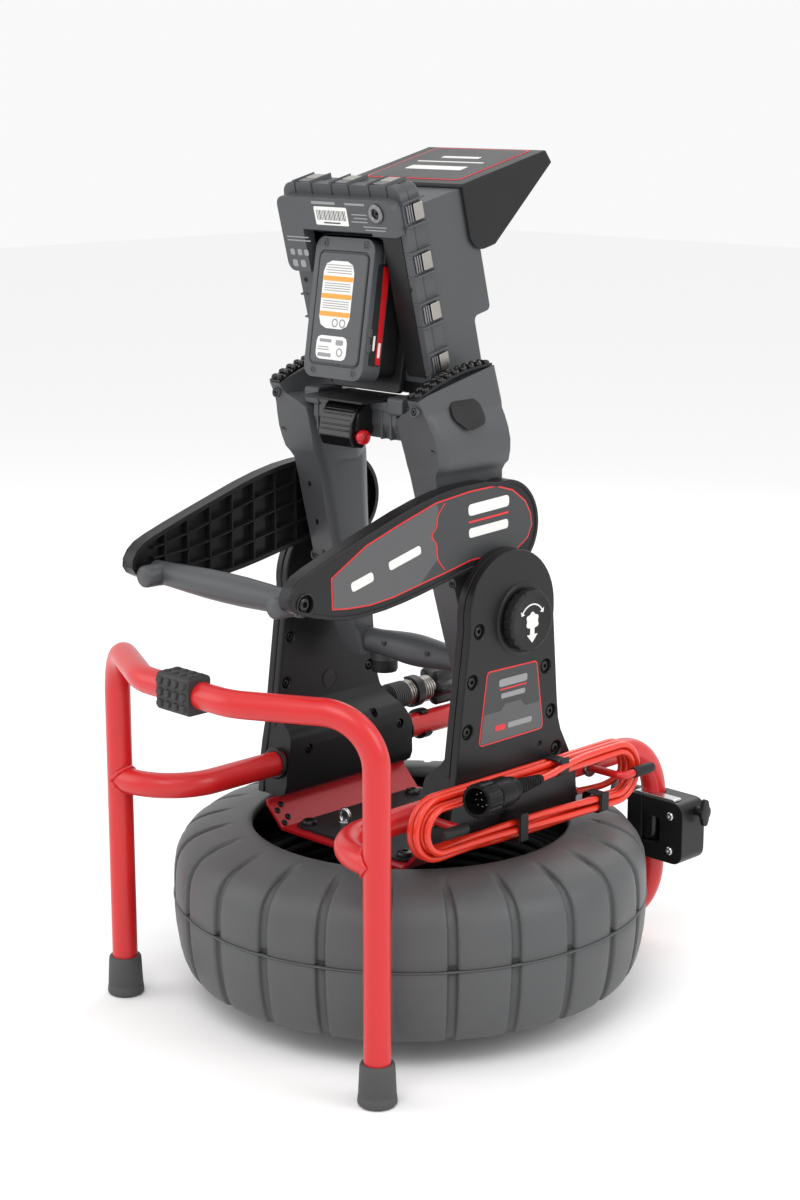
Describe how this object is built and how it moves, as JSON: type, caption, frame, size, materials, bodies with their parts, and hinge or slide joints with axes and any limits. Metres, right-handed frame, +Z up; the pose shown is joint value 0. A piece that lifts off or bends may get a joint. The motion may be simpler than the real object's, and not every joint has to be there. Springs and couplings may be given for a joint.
{
  "type": "inspection camera",
  "caption": "Drain inspection camera reel: tyre-like cable drum in a bent tube frame, with folding A-shaped stand, carry arms, hooded monitor, battery and a hank of cable.",
  "frame": {"origin": "centre of the outer box's footprint, on the floor", "axes": "+Z up; +Y towards the carry handle and the front hoop, -Y the way the screen faces; +X the side away from the hank"},
  "size_m": [0.48, 0.5854, 0.84],
  "materials": {
    "red_paint": "semi-gloss powder coat",
    "drum_plastic": "fine texture",
    "grey_plastic": "satin",
    "black_plastic": "satin",
    "gloss_black": "gloss",
    "foot_rubber": "matte",
    "steel": "brushed",
    "chrome": "polished",
    "screen": "gloss",
    "orange_cord": "semi-gloss",
    "button_red": "gloss"
  },
  "bodies": {
    "frame": {"bearing_lower": "steel", "bearing_upper": "steel", "cable_connector": "black_plastic", "cable_gland": "black_plastic", "cable_strain_relief": "black_plastic", "camera_boot": "grey_plastic", "camera_clip": "black_plastic", "camera_guide": "black_plastic", "camera_head": "chrome", "camera_spring": "chrome", "cord_hook_cap_front": "black_plastic", "cord_hook_cap_rear": "black_plastic", "cord_hook_front": "red_paint", "cord_hook_rear": "red_paint", "drum_spindle": "steel", "foot_cap_left": "foot_rubber", "foot_cap_right": "foot_rubber", "frame_front_hoop": "red_paint", "frame_main_tube": "red_paint", "grip_block": "foot_rubber", "guide_clamp_inner": "grey_plastic", "guide_clamp_outer": "black_plastic", "hub_cradle": "red_paint", "hub_plate": "black_plastic", "rear_foot": "foot_rubber", "side_plate_left_inner": "black_plastic", "side_plate_left_outer": "black_plastic", "side_plate_right_inner": "black_plastic", "side_plate_right_outer": "black_plastic", "slip_ring": "black_plastic", "system_cable_hank": "orange_cord", "system_cable_lead": "orange_cord"},
    "drum": {"drum_shell_lower": "drum_plastic", "drum_shell_upper": "drum_plastic", "drum_hub": "black_plastic", "push_cable_coil": "black_plastic"},
    "stand": {"stand_leg_left": "grey_plastic", "stand_leg_right": "grey_plastic", "stand_bridge": "grey_plastic", "stand_handle": "grey_plastic", "tooth_strip_left": "gloss_black", "tooth_strip_right": "gloss_black", "arm_pin_left": "steel", "arm_pin_right": "steel", "monitor_pivot_left": "steel", "monitor_pivot_right": "steel"},
    "arms": {"arm_left": "black_plastic", "arm_right": "black_plastic", "handle_grip": "grey_plastic"},
    "monitor": {"monitor_front_case": "grey_plastic", "monitor_rear_case": "grey_plastic", "display_screen": "screen", "keypad": "black_plastic"},
    "hood": {"sunshade": "black_plastic"},
    "battery": {"battery_pack": "black_plastic"},
    "latch": {"tilt_latch": "gloss_black"},
    "button": {"release_button": "button_red"},
    "knob_left": {"dock_knob_left": "black_plastic"},
    "knob_right": {"dock_knob_right": "black_plastic"},
    "wing_knob": {"guide_wing_knob": "black_plastic"}
  },
  "joints": [
    {"name": "drum_spin", "type": "hinge", "parent": "frame", "child": "drum", "pos_m": [0, -0.01685, 0], "axis": [0, 0, 1], "continuous": true},
    {"name": "stand_tilt", "type": "hinge", "parent": "frame", "child": "stand", "pos_m": [0, -0.03145, 0.4033], "axis": [1, 0, 0], "range_deg": [-4, 15]},
    {"name": "arm_fold", "type": "hinge", "parent": "stand", "child": "arms", "pos_m": [0, -0.02685, 0.49], "axis": [1, 0, 0], "range_deg": [-12, 5]},
    {"name": "monitor_tilt", "type": "hinge", "parent": "stand", "child": "monitor", "pos_m": [0, 0.00315, 0.628], "axis": [1, 0, 0], "range_deg": [-4, 18]},
    {"name": "hood_slide", "type": "slide", "parent": "monitor", "child": "hood", "axis": [0, 0.2419, 0.9703], "range_m": [0, 0.06]},
    {"name": "battery_slide", "type": "slide", "parent": "monitor", "child": "battery", "axis": [0, 0.1547, -0.988], "range_m": [0, 0.014]},
    {"name": "latch_turn", "type": "hinge", "parent": "stand", "child": "latch", "pos_m": [0, 0.06115, 0.574], "axis": [-1, 0, 0], "range_deg": [0, 25]},
    {"name": "button_press", "type": "slide", "parent": "latch", "child": "button", "axis": [1, 0, 0], "range_m": [0, 0.003], "stiffness_N_per_m": 400, "springref_m": -0.001},
    {"name": "knob_left_turn", "type": "hinge", "parent": "frame", "child": "knob_left", "pos_m": [0, -0.03145, 0.4033], "axis": [1, 0, 0], "range_deg": [0, 90]},
    {"name": "knob_right_turn", "type": "hinge", "parent": "frame", "child": "knob_right", "pos_m": [0, -0.03145, 0.4033], "axis": [1, 0, 0], "range_deg": [-90, 0]},
    {"name": "wing_knob_turn", "type": "hinge", "parent": "frame", "child": "wing_knob", "pos_m": [-0.1636, -0.27865, 0.16], "axis": [1, 0, 0], "continuous": true}
  ]
}
